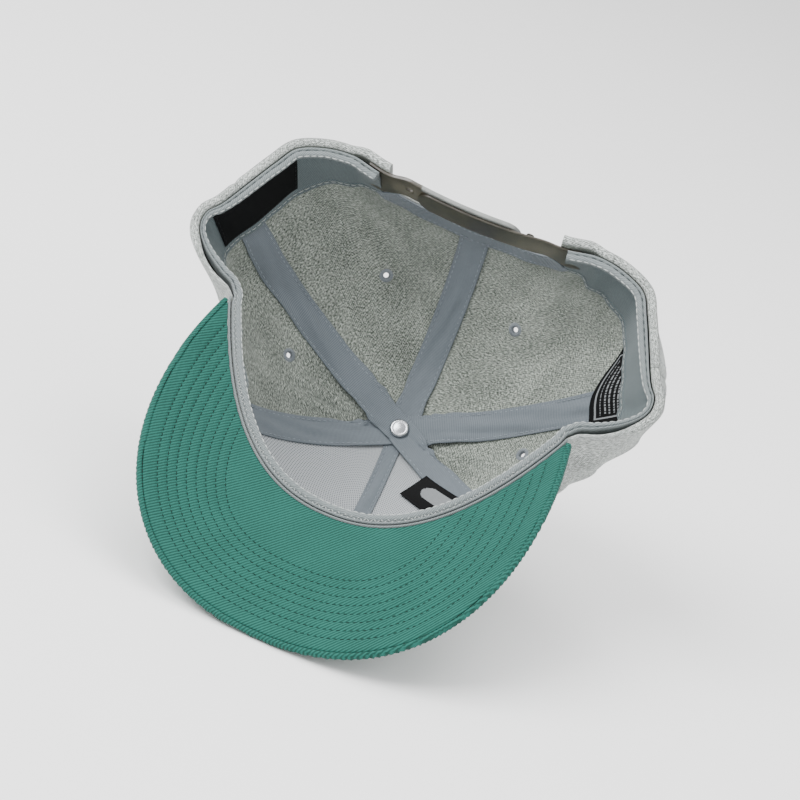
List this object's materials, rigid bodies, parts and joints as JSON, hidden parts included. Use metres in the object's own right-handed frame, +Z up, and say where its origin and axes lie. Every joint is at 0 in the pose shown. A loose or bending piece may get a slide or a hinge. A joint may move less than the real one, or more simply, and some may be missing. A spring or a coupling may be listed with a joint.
{
  "type": "snapback cap",
  "caption": "Flat-crowned snapback cap turned over: heather cloth crown with taped seams, sweatband, arch and peg strap at the back, and a stiff green-lined peak.",
  "frame": {"origin": "middle of the underside of the cap's bounding box, on the floor that it rests on", "axes": "+Z up from the floor; the cap lies turned over with its hollow open upwards and towards -Y, the peak points towards -Y and down to the floor, and the wearer's left is -X"},
  "size_m": [0.2186, 0.2186, 0.1569],
  "materials": {
    "crown_cloth": "light grey heather twill, darker and greener inside",
    "buckram": "stiff pale open mesh",
    "seam_tape": "smooth woven tape with stitched edges",
    "band_cloth": "satin twill",
    "peak_cloth": "diagonal twill in rows of stitches",
    "strap_plastic": "smoke-coloured, slightly see-through",
    "eyelet_thread": "close satin stitches",
    "rivet_metal": "polished silver",
    "label_cloth": "fine woven black"
  },
  "bodies": {
    "root": {"front_right_panel": "crown_cloth", "front_left_panel": "crown_cloth", "side_right_panel": "crown_cloth", "side_left_panel": "crown_cloth", "back_right_panel": "crown_cloth", "back_left_panel": "crown_cloth", "front_right_stiffener": "buckram", "front_left_stiffener": "buckram", "seam_tape_front": "seam_tape", "seam_tape_back": "seam_tape", "seam_tape_middle": "seam_tape", "seam_tape_top": "seam_tape", "sweatband": "band_cloth", "back_opening_binding": "seam_tape", "peak_upper_cover": "peak_cloth", "peak_under_cover": "peak_cloth", "strap_with_holes": "strap_plastic", "strap_with_pegs": "strap_plastic", "eyelet_side_left": "eyelet_thread", "eyelet_side_right": "eyelet_thread", "eyelet_back_left": "eyelet_thread", "eyelet_back_right": "eyelet_thread", "top_button": "crown_cloth", "button_rivet": "rivet_metal", "sweatband_label": "label_cloth", "front_label": "label_cloth", "care_label": "label_cloth"}
  },
  "joints": []
}
